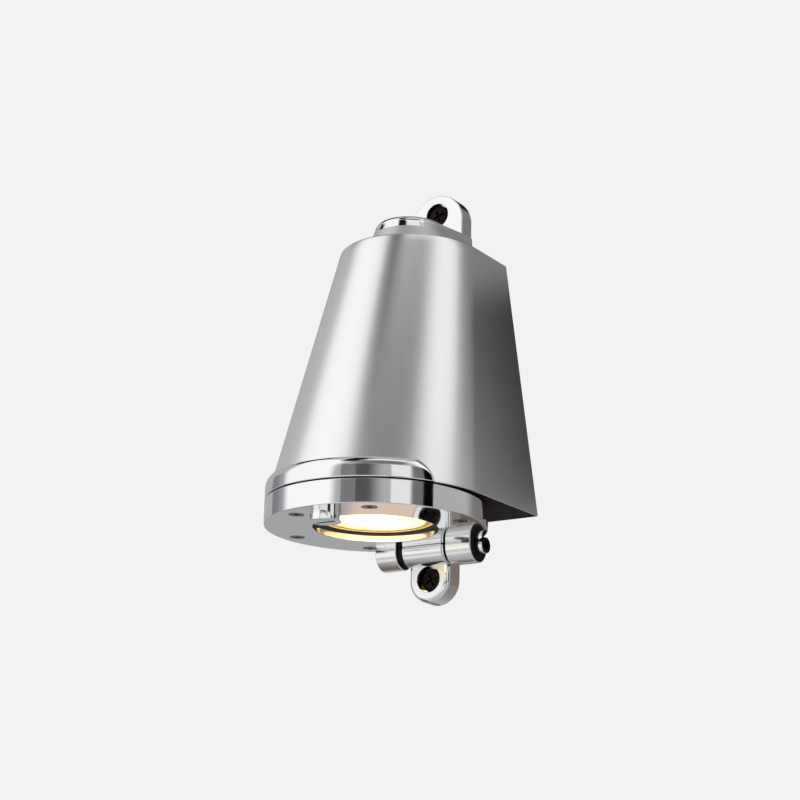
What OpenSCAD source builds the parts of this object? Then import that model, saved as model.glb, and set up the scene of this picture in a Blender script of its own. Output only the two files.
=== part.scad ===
// Downward wall light with a tapered housing and a hinged lens lid.
// Frame: origin on the wall midway between the two fixing holes, X along the wall,
// Y into the wall, Z up. The light stands in front of the wall at negative Y.

/* [Wall fixing] */
// Height of the upper fixing hole above the housing's upper face
upper_fix_rise = 30.6; // [28:0.2:34]
// Diameter of the hole for a wall screw
fix_hole_d = 5.5; // [4:0.1:6.5]
// Diameter of the counterbore that sinks the screw head
fix_bore_d = 12.8; // [10:0.1:14]
// Width of the upper lug
upper_lug_w = 30; // [26:0.5:36]
// Thickness of the upper lug
upper_lug_t = 9; // [7:0.1:11]
// Depth of the upper counterbore
upper_bore_depth = 4; // [2:0.1:5]
// Width of the lower lug
lower_lug_w = 22.4; // [19:0.2:23]
// Thickness of the lower lug
lower_lug_t = 10.5; // [9:0.1:12]
// Depth of the lower counterbore
lower_bore_depth = 6; // [4:0.1:7]

/* [Housing] */
// Height of the housing above its lower face
body_h = 130; // [118:1:150]
// Radius of the rounded front at the lower face
base_r = 53; // [50:0.5:58]
// Distance from the wall to the centre of that front
base_c = 54; // [50:0.5:58]
// Width against the wall at the lower face
base_w = 108.4; // [107.2:0.4:120]
// Radius of the rounded front at the upper face
top_r = 35.4; // [32:0.1:40]
// Distance from the wall to the centre of that front
top_c = 31.2; // [29:0.1:36]
// Width against the wall at the upper face
top_w = 71; // [70:0.2:84]
// Thickness of the housing wall
wall_t = 3.2; // [2.4:0.1:4]
// Thickness of the floor round the lamp opening
floor_t = 8; // [6:0.5:10]
// Thickness of the roof
roof_t = 4; // [3:0.5:6]
// Height of the polished band above the lower face
band_h = 9.5; // [7:0.5:12]
// Distance from the lid rim in to the lamp opening in the floor
opening_inset = 18.5; // [16:0.5:20]

/* [Lid] */
// Diameter of the lid and of the polished band
lid_d = 104; // [100:1:110]
// Distance from the wall to the lid centre
lid_c = 57; // [56:0.5:62]
// Thickness of the lid
lid_t = 11.4; // [10.4:0.1:13]
// Open gap between the lid and the housing
seam_gap = 0.6; // [0.6:0.1:1.2]
// Height of the lid underside above the lower fixing hole
lid_rise = 15.4; // [15:0.2:18]
// Diameter of the light opening
lens_bore_d = 58.6; // [50:0.2:62]
// Depth of the light opening below the gasket
lens_lip_t = 3.4; // [2.5:0.1:4]
// Distance from the lid rim in to the rim of the lens glass
glass_inset = 16; // [15:0.5:19]
// Thickness of the lens glass
glass_t = 3; // [2.5:0.1:3.5]
// Thickness of the gasket under the glass
gasket_t = 1; // [0.6:0.1:1.2]
// Width of the gasket that shows inside the light opening
gasket_lip = 1.8; // [0.5:0.1:2.5]
// Distance from the lid rim in to the clamp ring above the glass
clamp_inset = 5.4; // [5:0.1:7.5]
// Distance from the lid rim in to the clamp screws
clamp_screw_inset = 8.4; // [8:0.1:10]
// Nominal diameter of a clamp screw
clamp_screw_d = 3; // [2.5:0.5:4]

/* [Hinge] */
// Distance from the wall to the hinge axis
hinge_c = 10.2; // [10:0.1:12]
// Height of the hinge axis below the lid underside
hinge_drop = 1.8; // [1.6:0.1:3]
// Radius of the lid's two outer knuckles
knuckle_r = 8; // [7.2:0.1:8.2]
// Radius of the middle knuckle
mid_knuckle_r = 7.2; // [6.6:0.1:7.4]
// Distance from the middle of the hinge to the outer knuckle ends
knuckle_end_x = 27.6; // [26:0.2:31]
// Thickness of the dark spacer at the left of the middle knuckle
spacer_t = 2.8; // [2:0.1:3.5]
// Thickness of the washer at the right of the middle knuckle
washer_t = 2; // [1:0.1:3]
// Diameter of the hinge pin
pin_d = 5; // [4:0.1:6]
// Diameter of the pin head
pin_head_d = 7.6; // [7:0.1:9]
// Length of the pin neck that shows beside the knuckle
pin_neck = 0.8; // [0.6:0.1:3]
// Length of the pin head
pin_head_t = 3.6; // [2:0.1:4]
// Radial play of the pin in the lid knuckles
pin_play = 0.05; // [0.02:0.01:0.1]

/* [Lock screw] */
// Distance from the lid rim to the lock screw
lock_inset = 11.6; // [11.2:0.1:11.7]
// Diameter of the knob
lock_knob_d = 14.2; // [11:0.2:15]
// Height of the knob
lock_knob_h = 4.8; // [3:0.1:6]
// Diameter of the screw shank
lock_d = 4; // [3:0.1:4.4]
// Length of the shank inside the housing floor
lock_reach = 4.6; // [3:0.1:6]
// Distance that the screw backs out
lock_travel = 5.5; // [5:0.1:6]

/* [Lamp] */
// Diameter of the lamp
lamp_d = 50; // [35:0.5:51]
// Length of the lamp without its pins
lamp_h = 46; // [42:0.5:52]
// Height of the lamp front above the housing's lower face
lamp_rise = 3; // [2:0.5:6]
// Distance between the lamp pins
lamp_pin_pitch = 10; // [9.8:0.1:10.2]
// Angle that the lamp turns to leave its holder
lamp_twist = 25; // [20:1:30]
// Diameter of the lampholder
holder_d = 30; // [27:0.5:32]
// Height of the lampholder
holder_h = 19; // [17:0.5:22]
// Thickness of the bracket sheet
bracket_t = 1.5; // [1:0.1:2]
// Width of the bracket
bracket_w = 26; // [22:0.5:28]

/* [Back plate] */
// Thickness of the back plate
plate_t = 4; // [3:0.1:5]
// Distance from the housing's upper face down to the cable entry
entry_drop = 17.4; // [15:0.2:20]
// Diameter of the cable that enters
cable_d = 9; // [6:0.5:10]
// Distance from the cable entry down to the terminal block
terminal_drop = 19; // [17:0.5:20]

/* [Hidden] */
$fn = 96;
eps = 0.02;
fit_gap = 0.05;
part_gap = 0.3;
swing_gap = 0.6;
lid_r = lid_d / 2;
opening_r = lid_r - opening_inset;
glass_r = lid_r - glass_inset;
clamp_r = lid_r - clamp_inset;
clamp_screw_c = lid_r - clamp_screw_inset;
fix_pitch = lid_rise + lid_t + seam_gap + body_h + upper_fix_rise;
lid_z = lid_rise - fix_pitch / 2;
lid_top = lid_z + lid_t;
body_z = lid_top + seam_gap;
roof_z = body_z + body_h;
hinge_z = lid_z - hinge_drop;
lid_flat = hinge_c - 2.7;
mid_knuckle_x = lower_lug_w / 2;
stem_w = 2 * mid_knuckle_x - 1;
stem_t = lid_flat - swing_gap;
lens_r = lens_bore_d / 2;
gasket_z = lid_z + lens_lip_t;
glass_z = gasket_z + gasket_t;
clamp_z = glass_z + glass_t;
clamp_t = lid_top - clamp_z;
clamp_in = glass_r - 5;
screw_turns = [30, 96, 145, -22, -88, -143];
cs_head_r = clamp_screw_d + 0.6;
cs_head_h = cs_head_r - clamp_screw_d / 2;
lock_c = lid_r - lock_inset;
lock_y = -lid_c - lock_c;
collar_r = lock_d / 2 + 1.4;
collar_t = 1;
lock_pocket_r = lock_d / 2 + 1.3;
lamp_z = body_z + lamp_rise;
lamp_top = lamp_z + lamp_h;
holder_z = lamp_top + 0.5;
holder_top = holder_z + holder_h;
pin_len = 8;
pin_head_h = 3;
holder_plate = 3.2;
bracket_top = holder_top + bracket_t;
bracket_drop = 30;
bracket_front = lid_c + holder_d / 2 + 1;
holder_fix_x = 9.5;
boss_r = 4.5;
boss_l = 12;
boss_levels = [16, body_h - 14];
plate_screw_d = 3;
plate_lo = body_z + floor_t + part_gap;
plate_hi = roof_z - roof_t - part_gap;
entry_z = roof_z - entry_drop;
terminal_z = entry_z - terminal_drop;
term_w = 30;
term_h = 14;
term_t = 13;
term_pitch = 9;
term_lo = terminal_z - term_h / 2;
lead_x = term_pitch;
lead_y = -lid_c + 7;
lead_r = 1.2;
earth_x = 21;
earth_z = terminal_z + 2;
way_y = -plate_t - 6;
crimp_z = earth_z + 6;
crimp_h = 5;
lead_pull = (term_lo - holder_top) / 2;
supply_path = concat([[lead_y, holder_top - 3.5]],
    s_path(lead_y, holder_top + 2, way_y, term_lo - 0.5, lead_pull, -lead_pull, 16),
    [[way_y, term_lo + 3]]);
earth_path = concat([[0, terminal_z + 3.5]],
    s_path(0, terminal_z + term_h / 2 + 0.5, earth_x, crimp_z + crimp_h + 0.5, 6, 6, 16),
    [[earth_x, crimp_z + 2.5]]);
boss_front_r = 22;
boss_c = top_c + 2.8;
cap_h = 15.7;
cap_screw_y = [-16, -38];

// Values that run in a straight line from the lower face to the upper face
function part_way(a, b, z) = a + (b - a) * z / body_h;
function front_r(z) = part_way(base_r, top_r, z);
function front_c(z) = part_way(base_c, top_c, z);
function back_w(z) = part_way(base_w, top_w, z);

// Points of an arc in a flat profile
function arc(cx, cy, r, a0, a1, n) = [for (i = [0:n])
    [cx + r * cos(a0 + (a1 - a0) * i / n), cy + r * sin(a0 + (a1 - a0) * i / n)]];

// Smooth path between two points, with the height of each end's pull
function s_path(u0, z0, u1, z1, k0, k1, n) = [for (i = [0:n]) let (t = i / n, s = 1 - t)
    [(s * s * s + 3 * s * s * t) * u0 + (3 * s * t * t + t * t * t) * u1,
     s * s * s * z0 + 3 * s * s * t * (z0 + k0) + 3 * s * t * t * (z1 + k1) + t * t * t * z1]];

// Solid between two flat-backed round-fronted outlines, inset from the housing surface
module tapered_form(lo, hi, inset, back) {
    intersection() {
        hull() {
            for (z = [lo, hi]) {
                translate([0, -front_c(z), body_z + z - (z == hi ? eps : 0)])
                    cylinder(r = front_r(z) - inset, h = eps, $fn = 160);
                translate([-back_w(z) / 2 + inset, back - eps, body_z + z - (z == hi ? eps : 0)])
                    cube([back_w(z) - 2 * inset, eps, eps]);
            }
        }
        translate([-base_w, back - 3 * base_w, body_z - 1])
            cube([2 * base_w, 3 * base_w, body_h + 2]);
    }
}

// Half ring that forms the polished band and runs up into the housing front
module band() {
    lean = 8.5;
    shoulder = 4;
    band_top_r = lid_r - lean + sqrt(lean * lean - pow(band_h - shoulder, 2));
    sweep = 8.1;
    translate([0, -lid_c, body_z])
        rotate([0, 0, 180])
            rotate_extrude(angle = 180)
                polygon(concat([[opening_r + 6, 0], [lid_r, 0]],
                    arc(lid_r - lean, shoulder, lean, 0, asin((band_h - shoulder) / lean), 6),
                    arc(band_top_r, band_h + sweep, sweep, 262, 215, 5),
                    [[lid_r - 9, band_h + sweep * (1 - sin(35))], [lid_r - 9, floor_t - 1],
                     [opening_r + 6, floor_t - 1]]));
}

// Moves its children to each fixing screw of the back plate
module at_plate_screws() {
    for (z = boss_levels)
        for (s = [-1, 1])
            translate([s * (back_w(z) / 2 - wall_t - 3.2), 0, body_z + z])
                rotate([90, 0, 0])
                    children();
}

// Moves its children to each clamp screw, with Z up from the lid underside
module at_clamp_screws() {
    for (a = screw_turns)
        translate([clamp_screw_c * sin(a), -lid_c - clamp_screw_c * cos(a), lid_z])
            children();
}

// Countersunk screw with its flat head at the origin and its shank along Z
module flat_screw(d, head_r, length) {
    difference() {
        union() {
            cylinder(r1 = head_r, r2 = d / 2, h = head_r - d / 2);
            cylinder(r = d / 2, h = length);
        }
        translate([0, 0, -eps])
            cylinder(r = d * 0.42, h = d * 0.45, $fn = 6);
    }
}

// Pan head screw with the head's seat at the origin and the shank along Z
module pan_screw(d, length) {
    difference() {
        union() {
            translate([0, 0, -0.6 * d])
                cylinder(r = d * 0.95, h = 0.6 * d);
            cylinder(r = d / 2, h = length);
        }
        translate([-d, -0.15 * d, -0.6 * d - eps])
            cube([2 * d, 0.3 * d, 0.3 * d]);
    }
}

// Round lead along a path in the YZ plane
module lead(path, r) {
    sides = 10;
    n = len(path);
    ring = [for (i = [0:n - 1]) let (
            a = path[max(i - 1, 0)],
            b = path[min(i + 1, n - 1)],
            l = norm(b - a),
            nu = -(b[1] - a[1]) / l,
            nz = (b[0] - a[0]) / l)
        for (j = [0:sides - 1]) let (t = 360 * j / sides)
            [r * cos(t), path[i][0] + r * sin(t) * nu, path[i][1] + r * sin(t) * nz]];
    walls = [for (i = [0:n - 2]) for (j = [0:sides - 1])
        [i * sides + j, i * sides + (j + 1) % sides,
         (i + 1) * sides + (j + 1) % sides, (i + 1) * sides + j]];
    caps = [[for (j = [sides - 1:-1:0]) j], [for (j = [0:sides - 1]) (n - 1) * sides + j]];
    polyhedron(points = ring, faces = concat(walls, caps));
}

// Cast housing with a round front, a flat open back and the band under it
module body_shell() {
    color([0.74, 0.75, 0.76])
        difference() {
            union() {
                difference() {
                    tapered_form(0, body_h, 0, 0);
                    tapered_form(floor_t, body_h - roof_t, wall_t, 1);
                }
                band();
                at_plate_screws()
                    translate([0, 0, plate_t + part_gap])
                        cylinder(r = boss_r, h = boss_l);
            }
            translate([0, -lid_c, body_z - 1])
                cylinder(r = opening_r, h = floor_t + 2);
            translate([-stem_w / 2 - part_gap, -stem_t - part_gap, body_z - 1])
                cube([stem_w + 2 * part_gap, stem_t + part_gap + 1, floor_t + 2]);
            translate([0, lock_y, body_z - 1])
                cylinder(r = lock_pocket_r, h = lock_reach + 1.6);
            at_plate_screws()
                cylinder(r = plate_screw_d / 2 + fit_gap, h = 14);
            for (y = cap_screw_y)
                translate([0, y, roof_z - roof_t - 1])
                    cylinder(r = 2 + fit_gap, h = roof_t + 2);
        }
}

// Back plate with the cable hole, the stem, the middle knuckle and the lower lug
module back_plate() {
    lo_x = back_w(floor_t) / 2 - wall_t - part_gap;
    hi_x = back_w(body_h - roof_t) / 2 - wall_t - part_gap;
    color([0.80, 0.81, 0.82])
        difference() {
            union() {
                rotate([90, 0, 0])
                    linear_extrude(plate_t)
                        polygon([[-lo_x, plate_lo], [lo_x, plate_lo], [hi_x, plate_hi], [-hi_x, plate_hi]]);
                translate([-stem_w / 2, -stem_t, hinge_z])
                    cube([stem_w, stem_t, plate_lo + 1 - hinge_z]);
                translate([-mid_knuckle_x, -hinge_c, hinge_z])
                    rotate([0, 90, 0])
                        cylinder(r = mid_knuckle_r, h = 2 * mid_knuckle_x);
                translate([-lower_lug_w / 2, -lower_lug_t, -fix_pitch / 2])
                    cube([lower_lug_w, lower_lug_t, hinge_z + fix_pitch / 2]);
                translate([0, 0, -fix_pitch / 2])
                    rotate([90, 0, 0])
                        cylinder(d = lower_lug_w, h = lower_lug_t);
            }
            translate([0, 1, -fix_pitch / 2])
                rotate([90, 0, 0])
                    cylinder(d = fix_hole_d, h = lower_lug_t + 2);
            translate([0, -lower_lug_t + lower_bore_depth, -fix_pitch / 2])
                rotate([90, 0, 0])
                    cylinder(d = fix_bore_d, h = lower_bore_depth + 1);
            translate([-mid_knuckle_x - 1, -hinge_c, hinge_z])
                rotate([0, 90, 0])
                    cylinder(r = pin_d / 2 + fit_gap, h = 2 * mid_knuckle_x + 2);
            translate([0, 1, entry_z])
                rotate([90, 0, 0])
                    cylinder(d = cable_d + 5, h = plate_t + 2);
            at_plate_screws() {
                cylinder(r = plate_screw_d / 2 + 0.2, h = plate_t + 1);
                translate([0, 0, -0.5])
                    cylinder(r1 = 4.4, r2 = plate_screw_d / 2 + 0.2, h = 2.7);
            }
            for (x = [-1, 1])
                for (z = [8, 20])
                    translate([x * 8, 1, holder_top - z])
                        rotate([90, 0, 0])
                            cylinder(r = 1.5 + fit_gap, h = plate_t + 2);
            for (x = [-1, 1])
                translate([x * term_pitch / 2, 1, terminal_z])
                    rotate([90, 0, 0])
                        cylinder(r = 1.25 + fit_gap, h = plate_t + 2);
            translate([earth_x, 1, earth_z])
                rotate([90, 0, 0])
                    cylinder(r = 2 + fit_gap, h = plate_t + 2);
        }
}

// Four countersunk screws that hold the back plate in the housing
module plate_screws() {
    color([0.35, 0.35, 0.36])
        at_plate_screws()
            translate([0, 0, 0.3])
                flat_screw(plate_screw_d, 3.4, 13);
}

// Polished cap with a round-fronted boss and the upper fixing lug
module top_cap() {
    lug_r = upper_lug_w / 2;
    lug_top_drop = lug_r - 10.6;
    shoulder = 2.8;
    boss_draft = 5;
    boss_w = upper_lug_w + 3;
    color([0.86, 0.87, 0.88])
        difference() {
            union() {
                hull() {
                    for (i = [0:6]) {
                        a = 90 * i / 6;
                        rise = cap_h - shoulder + shoulder * sin(a);
                        inset = boss_draft + shoulder * (1 - cos(a));
                        translate([0, -boss_c, roof_z + rise - eps])
                            cylinder(r = boss_front_r - inset, h = eps);
                        translate([-boss_w / 2 + inset / 8, -eps, roof_z + rise - eps])
                            cube([boss_w - inset / 4, eps, eps]);
                    }
                    translate([0, -boss_c, roof_z])
                        cylinder(r = boss_front_r, h = eps);
                    translate([-boss_w / 2, -eps, roof_z])
                        cube([boss_w, eps, eps]);
                }
                translate([0, 0, fix_pitch / 2 - lug_top_drop])
                    rotate([90, 0, 0])
                        cylinder(r = lug_r, h = upper_lug_t);
                translate([-lug_r, -upper_lug_t, roof_z])
                    cube([upper_lug_w, upper_lug_t, fix_pitch / 2 - lug_top_drop - roof_z]);
            }
            translate([0, 1, fix_pitch / 2])
                rotate([90, 0, 0])
                    cylinder(d = fix_hole_d, h = upper_lug_t + 2);
            translate([0, -upper_lug_t + upper_bore_depth, fix_pitch / 2])
                rotate([90, 0, 0])
                    cylinder(d = fix_bore_d, h = upper_bore_depth + 1);
            for (y = cap_screw_y)
                translate([0, y, roof_z - 1])
                    cylinder(r = 2 + fit_gap, h = 9);
        }
}

// Two screws that hold the cap from inside the housing
module cap_screws() {
    color([0.55, 0.56, 0.57])
        for (y = cap_screw_y)
            translate([0, y, roof_z - roof_t])
                pan_screw(4, roof_t + 7);
}

// Hinged lid with the lens seat and the two outer knuckles
module lid_ring() {
    color([0.86, 0.87, 0.88])
        difference() {
            union() {
                difference() {
                    translate([0, -lid_c, lid_z])
                        rotate_extrude()
                            polygon([[lens_r, 0.2], [lens_r + 0.2, 0], [lid_r - 0.5, 0], [lid_r, 0.5],
                                [lid_r, lid_t - 0.4], [lid_r - 0.4, lid_t], [clamp_r + 0.2, lid_t],
                                [clamp_r + 0.2, lid_t - clamp_t], [glass_r + 0.2, lid_t - clamp_t],
                                [glass_r + 0.2, lens_lip_t], [lens_r, lens_lip_t]]);
                    translate([-lid_r, -lid_flat, lid_z - 1])
                        cube([lid_d, lid_r, lid_t + 2]);
                }
                for (x = [[-knuckle_end_x, -mid_knuckle_x - spacer_t - 0.2],
                          [mid_knuckle_x + washer_t + 0.2, knuckle_end_x]])
                    translate([x[0], -hinge_c, hinge_z])
                        rotate([0, 90, 0])
                            cylinder(r = knuckle_r, h = x[1] - x[0]);
            }
            translate([-mid_knuckle_x - spacer_t - 0.2, -hinge_c, hinge_z])
                rotate([0, 90, 0])
                    cylinder(r = mid_knuckle_r + 0.4, h = 2 * mid_knuckle_x + spacer_t + washer_t + 0.4);
            translate([knuckle_end_x, -hinge_c, hinge_z])
                rotate([0, 90, 0])
                    cylinder(r = pin_head_d / 2 + swing_gap, h = lid_r);
            translate([-knuckle_end_x - 1, -hinge_c, hinge_z])
                rotate([0, 90, 0])
                    cylinder(r = pin_d / 2 + pin_play, h = 2 * knuckle_end_x + 2);
            translate([0, -lid_c, clamp_z])
                cylinder(r = clamp_r + 0.2, h = lid_t);
            at_clamp_screws() {
                translate([0, 0, -1])
                    cylinder(r = clamp_screw_d / 2 + 0.2, h = lid_t + 2);
                translate([0, 0, -0.1])
                    cylinder(r1 = cs_head_r + 0.3, r2 = clamp_screw_d / 2 + 0.2, h = cs_head_h + 0.2);
            }
            translate([0, lock_y, lid_z - 1])
                cylinder(r = lock_d / 2 + part_gap, h = lid_t + 2);
            translate([0, lock_y, lid_top - lock_travel - collar_t - 0.4])
                cylinder(r = collar_r + part_gap, h = lid_t);
        }
}

// Rubber ring under the lens glass
module lens_gasket() {
    color([0.06, 0.06, 0.06])
        translate([0, -lid_c, gasket_z])
            difference() {
                cylinder(r = glass_r, h = gasket_t);
                translate([0, 0, -1])
                    cylinder(r = lens_r - gasket_lip, h = gasket_t + 2);
            }
}

// Flat lens glass
module lens_glass() {
    color([0.95, 0.93, 0.82, 0.5])
        translate([0, -lid_c, glass_z])
            cylinder(r = glass_r, h = glass_t);
}

// Ring that clamps the glass into the lid
module clamp_ring() {
    color([0.70, 0.71, 0.72])
        difference() {
            translate([0, -lid_c, clamp_z])
                difference() {
                    cylinder(r = clamp_r, h = clamp_t);
                    translate([0, 0, -1])
                        cylinder(r = clamp_in, h = clamp_t + 2);
                }
            at_clamp_screws()
                cylinder(r = clamp_screw_d / 2 + fit_gap, h = lid_t + 1);
            translate([0, lock_y, clamp_z - 1])
                cylinder(r = collar_r + part_gap, h = clamp_t + 2);
        }
}

// Six countersunk screws from the lid underside into the clamp ring
module clamp_screws() {
    color([0.20, 0.20, 0.21])
        at_clamp_screws()
            flat_screw(clamp_screw_d, cs_head_r, lid_t - 0.6);
}

// Rubber ring between the clamp ring and the housing floor
module lid_seal() {
    color([0.06, 0.06, 0.06])
        translate([0, -lid_c, lid_top])
            difference() {
                cylinder(r = lock_c - collar_r - part_gap - 0.3, h = seam_gap - 0.1);
                translate([0, 0, -1])
                    cylinder(r = opening_r + 0.4, h = seam_gap + 2);
            }
}

// Hinge pin with a neck and a round socketed head at the right
module hinge_pin() {
    head_x = knuckle_end_x + pin_neck;
    color([0.62, 0.60, 0.57])
        translate([0, -hinge_c, hinge_z])
            rotate([0, 90, 0])
                difference() {
                    union() {
                        translate([0, 0, -knuckle_end_x])
                            cylinder(d = pin_d, h = knuckle_end_x + head_x);
                        translate([0, 0, head_x])
                            cylinder(d = pin_head_d, h = pin_head_t);
                    }
                    translate([0, 0, head_x + pin_head_t - 1.6])
                        cylinder(r = 2.2, h = 2, $fn = 6);
                }
}

// Ring on the hinge pin, from one X position along a length
module pin_ring(x, r, h) {
    translate([x, -hinge_c, hinge_z])
        rotate([0, 90, 0])
            difference() {
                cylinder(r = r, h = h);
                translate([0, 0, -1])
                    cylinder(r = pin_d / 2 + fit_gap, h = h + 2);
            }
}

// Dark spacer at the left of the middle knuckle
module hinge_spacer() {
    color([0.05, 0.05, 0.05])
        pin_ring(-mid_knuckle_x - spacer_t, mid_knuckle_r - 0.4, spacer_t);
}

// Steel washer at the right of the middle knuckle
module hinge_washer() {
    color([0.70, 0.70, 0.69])
        pin_ring(mid_knuckle_x, mid_knuckle_r - 0.6, washer_t);
}

// Lock screw with a round knob, a slot under it and a plain shank
module lock_screw() {
    knob_top = lid_z - part_gap;
    color([0.86, 0.87, 0.88])
        translate([0, lock_y, 0])
            difference() {
                union() {
                    translate([0, 0, knob_top - lock_knob_h])
                        cylinder(r1 = lock_knob_d / 2 - 0.6, r2 = lock_knob_d / 2, h = 0.6);
                    translate([0, 0, knob_top - lock_knob_h + 0.6])
                        cylinder(d = lock_knob_d, h = lock_knob_h - 0.6);
                    translate([0, 0, knob_top - 1])
                        cylinder(d = lock_d, h = body_z + lock_reach - knob_top + 1);
                }
                translate([-lock_knob_d, -0.8, knob_top - lock_knob_h - 1])
                    cube([2 * lock_knob_d, 1.6, 2.6]);
            }
}

// Ring that keeps the lock screw in the lid
module lock_collar() {
    color([0.45, 0.45, 0.46])
        translate([0, lock_y, lid_top - collar_t - 0.1])
            difference() {
                cylinder(r = collar_r, h = collar_t);
                translate([0, 0, -1])
                    cylinder(r = lock_d / 2 + fit_gap, h = collar_t + 2);
            }
}

// Reflector lamp from its rim to its base
module lamp_body() {
    lamp_r = lamp_d / 2;
    base_half = 13;
    color([0.82, 0.82, 0.80])
        translate([0, -lid_c, lamp_z])
            difference() {
                rotate_extrude()
                    polygon([[lamp_r - 2.5, 0], [lamp_r, 0], [lamp_r, 4.5], [lamp_r - 1.5, 7],
                        [base_half, 33], [base_half, lamp_h], [0, lamp_h], [0, 30],
                        [lamp_r - 14, 26], [lamp_r - 4, 5], [lamp_r - 2.5, 2.2]]);
                for (s = [-1, 1])
                    translate([s * lamp_pin_pitch / 2, 0, lamp_h - 6])
                        cylinder(r = 1.25 + fit_gap, h = 8);
            }
}

// Front glass of the lamp
module lamp_front() {
    color([1.0, 0.96, 0.82])
        translate([0, -lid_c, lamp_z])
            cylinder(r = lamp_d / 2 - 2.6, h = 2);
}

// Two headed contact pins of the lamp
module lamp_pins() {
    color([0.78, 0.66, 0.36])
        for (s = [-1, 1])
            translate([s * lamp_pin_pitch / 2, -lid_c, lamp_top - 5.5]) {
                cylinder(r = 1.25, h = pin_len + 5.5);
                translate([0, 0, pin_len + 5.5 - pin_head_h])
                    cylinder(r = 2.4, h = pin_head_h);
            }
}

// Ceramic lampholder with a turning slot for each lamp pin
module lampholder() {
    slot_r = 1.25 + part_gap + 0.1;
    head_r = 2.4 + part_gap + 0.1;
    half = lamp_pin_pitch / 2;
    color([0.93, 0.92, 0.88])
        difference() {
            translate([0, -lid_c, holder_z])
                cylinder(d = holder_d, h = holder_h);
            translate([0, -lid_c, holder_z + holder_plate])
                rotate_extrude()
                    translate([half - head_r, 0])
                        square([2 * head_r, 7]);
            for (s = [0, 180])
                translate([0, -lid_c, holder_z - 1])
                    rotate([0, 0, s]) {
                        rotate_extrude(angle = lamp_twist)
                            translate([half - slot_r, 0])
                                square([2 * slot_r, holder_plate + 2]);
                        translate([half, 0, 0])
                            cylinder(r = slot_r, h = holder_plate + 2);
                        rotate([0, 0, lamp_twist])
                            translate([half, 0, 0])
                                cylinder(r = head_r, h = holder_plate + 2);
                    }
            for (s = [-1, 1]) {
                translate([s * holder_fix_x, -lid_c, holder_top - 7])
                    cylinder(r = 1.5 + fit_gap, h = 8);
                translate([s * lead_x, lead_y, holder_top - 4])
                    cylinder(r = lead_r + part_gap, h = 5);
            }
        }
}

// Two screws from the bracket down into the lampholder
module holder_screws() {
    color([0.55, 0.56, 0.57])
        for (s = [-1, 1])
            translate([s * holder_fix_x, -lid_c, bracket_top])
                rotate([180, 0, 0])
                    pan_screw(3, bracket_t + 6.5);
}

// Bent sheet that carries the lampholder from the back plate
module lamp_bracket() {
    color([0.66, 0.67, 0.68])
        difference() {
            union() {
                translate([-bracket_w / 2, -bracket_front, holder_top])
                    cube([bracket_w, bracket_front - plate_t, bracket_t]);
                translate([-bracket_w / 2, -plate_t - bracket_t, bracket_top - bracket_drop])
                    cube([bracket_w, bracket_t, bracket_drop]);
            }
            for (s = [-1, 1]) {
                translate([s * holder_fix_x, -lid_c, holder_top - 1])
                    cylinder(r = 1.7, h = bracket_t + 2);
                translate([s * lead_x, lead_y, holder_top - 1])
                    cylinder(r = lead_r + 0.8, h = bracket_t + 2);
                for (z = [8, 20])
                    translate([s * 8, -plate_t + 1, holder_top - z])
                        rotate([90, 0, 0])
                            cylinder(r = 1.7, h = bracket_t + 2);
            }
        }
}

// Four screws that hold the bracket on the back plate
module bracket_screws() {
    color([0.55, 0.56, 0.57])
        for (s = [-1, 1])
            for (z = [8, 20])
                translate([s * 8, -plate_t - bracket_t, holder_top - z])
                    rotate([-90, 0, 0])
                        pan_screw(3, bracket_t + plate_t - 0.5);
}

// Three-way terminal block on the back plate
module terminal_block() {
    color([0.90, 0.88, 0.82])
        difference() {
            translate([-term_w / 2, -plate_t - term_t, term_lo])
                cube([term_w, term_t, term_h]);
            for (i = [-1:1]) {
                translate([i * term_pitch, way_y, term_lo - 1])
                    cylinder(r = 1.7, h = term_h + 2);
                for (z = [-1, 1])
                    translate([i * term_pitch, way_y, terminal_z + z * 3.5])
                        rotate([90, 0, 0])
                            cylinder(r = 1.9, h = term_t);
            }
            for (s = [-1, 1])
                translate([s * term_pitch / 2, -plate_t + 1, terminal_z])
                    rotate([90, 0, 0])
                        cylinder(r = 1.5, h = term_t + 2);
        }
}

// Clamping screws of the terminal block
module terminal_screws() {
    color([0.72, 0.64, 0.40])
        for (i = [-1:1])
            for (z = [-1, 1])
                translate([i * term_pitch, way_y - 1.4, terminal_z + z * 3.5])
                    rotate([90, 0, 0])
                        difference() {
                            cylinder(r = 1.85, h = 4);
                            translate([-3, -0.35, 3.2])
                                cube([6, 0.7, 2]);
                        }
}

// Two screws that hold the terminal block on the back plate
module terminal_fixings() {
    color([0.55, 0.56, 0.57])
        for (s = [-1, 1])
            translate([s * term_pitch / 2, -plate_t - term_t, terminal_z])
                rotate([-90, 0, 0])
                    pan_screw(2.5, term_t + plate_t - 0.5);
}

// Lead from the lampholder to the left terminal
module live_lead() {
    color([0.45, 0.24, 0.12])
        translate([-lead_x, 0, 0])
            lead(supply_path, lead_r);
}

// Lead from the lampholder to the right terminal
module neutral_lead() {
    color([0.12, 0.26, 0.55])
        translate([lead_x, 0, 0])
            lead(supply_path, lead_r);
}

// Lead from the middle terminal to the earth tag
module earth_lead() {
    color([0.20, 0.45, 0.16])
        translate([0, way_y, 0])
            rotate([0, 0, -90])
                lead(earth_path, lead_r);
}

// Earth screw in the back plate
module earth_screw() {
    color([0.72, 0.64, 0.40])
        translate([earth_x, -plate_t - 1, earth_z])
            rotate([-90, 0, 0])
                pan_screw(4, plate_t + 0.5);
}

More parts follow.
